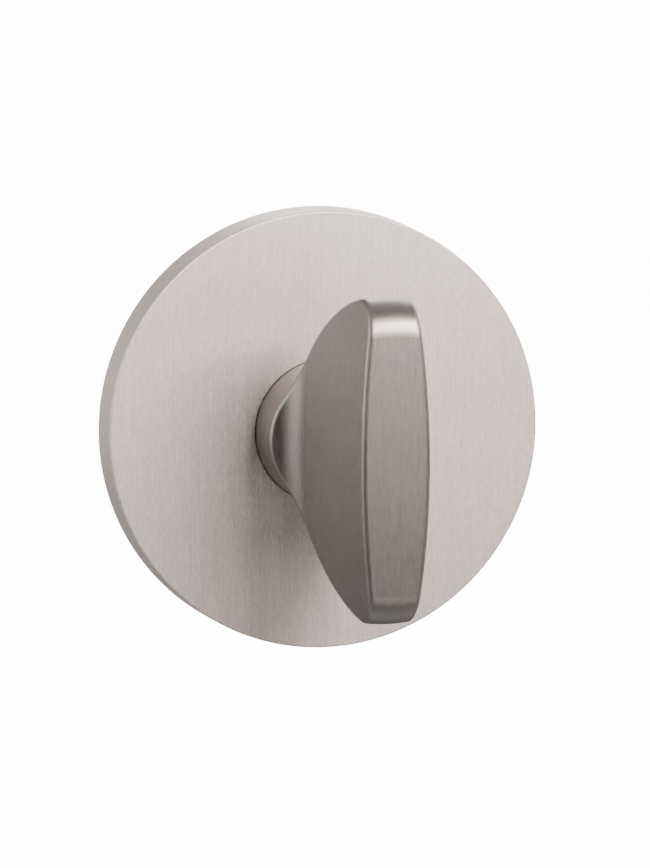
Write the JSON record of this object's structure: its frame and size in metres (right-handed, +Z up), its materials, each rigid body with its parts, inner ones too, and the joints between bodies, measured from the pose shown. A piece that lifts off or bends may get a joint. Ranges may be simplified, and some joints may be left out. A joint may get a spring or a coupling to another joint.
{
  "type": "bathroom thumb turn lock",
  "caption": "Thumb turn with a fan-shaped blade on a thin round rose, for the inside of a bathroom door; a quarter turn of its square spindle works the lock.",
  "frame": {"origin": "centre of the rose on the door's face, on the axis of the rear hub and the spindle", "axes": "+Y along the spindle into the door, -Y out of the door towards the hand, +Z up, +X to the right as the user faces the door"},
  "size_m": [0.052, 0.0927, 0.052],
  "materials": {
    "rose_cover": "satin stainless steel with a fine upright grain",
    "mounting_plate": "die-cast zinc alloy, as cast",
    "bearing_bush": "natural acetal",
    "cover_snap_ring": "drawn spring wire",
    "fixing_screws": "bright zinc plate",
    "thumb_turn": "satin stainless steel with a fine upright grain",
    "stop_washer": "blanked steel, zinc plate",
    "wave_washer": "hardened spring steel",
    "thrust_washer": "blanked steel, zinc plate",
    "retaining_ring": "phosphated spring steel",
    "square_spindle": "bright drawn steel, zinc plate",
    "spindle_pin": "hardened spring steel"
  },
  "bodies": {
    "rose": {"rose_cover": "rose_cover", "mounting_plate": "mounting_plate", "bearing_bush": "bearing_bush", "cover_snap_ring": "cover_snap_ring", "fixing_screws": "fixing_screws"},
    "turn": {"thumb_turn": "thumb_turn", "stop_washer": "stop_washer", "wave_washer": "wave_washer", "thrust_washer": "thrust_washer", "retaining_ring": "retaining_ring", "square_spindle": "square_spindle", "spindle_pin": "spindle_pin"}
  },
  "joints": [
    {"name": "quarter_turn", "type": "hinge", "parent": "rose", "child": "turn", "pos_m": [0, 0, 0], "axis": [0, 1, 0], "range_deg": [0, 90]}
  ]
}
